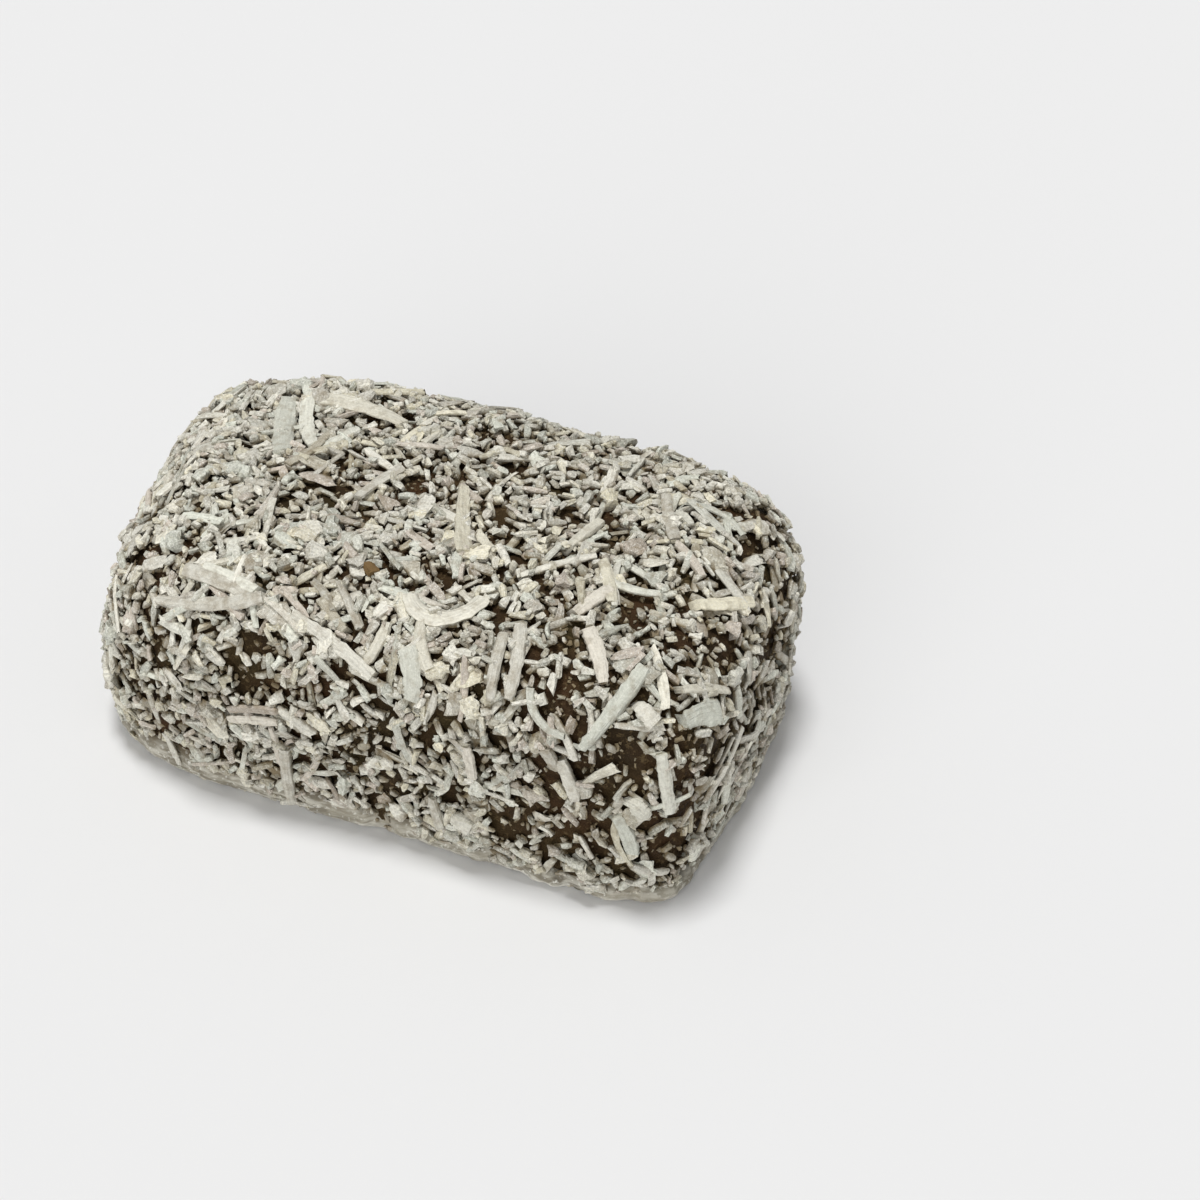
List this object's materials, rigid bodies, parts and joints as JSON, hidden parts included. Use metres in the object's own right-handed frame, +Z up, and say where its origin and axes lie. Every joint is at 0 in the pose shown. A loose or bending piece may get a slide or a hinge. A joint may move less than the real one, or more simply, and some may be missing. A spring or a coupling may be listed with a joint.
{
  "type": "lamington cake",
  "caption": "Uncut bar of sponge cake in chocolate icing, rolled in shredded coconut, resting on its flat base.",
  "frame": {"origin": "centre of the flat base, under the middle of the cake's box", "axes": "+X along the bar to its squarer end, +Y from the front long side to the back one, +Z up"},
  "size_m": [0.099, 0.061, 0.0404],
  "materials": {
    "coconut": "dry shredded and desiccated coconut, off-white, over dark chocolate icing"
  },
  "bodies": {
    "root": {"lamington": "coconut"}
  },
  "joints": []
}
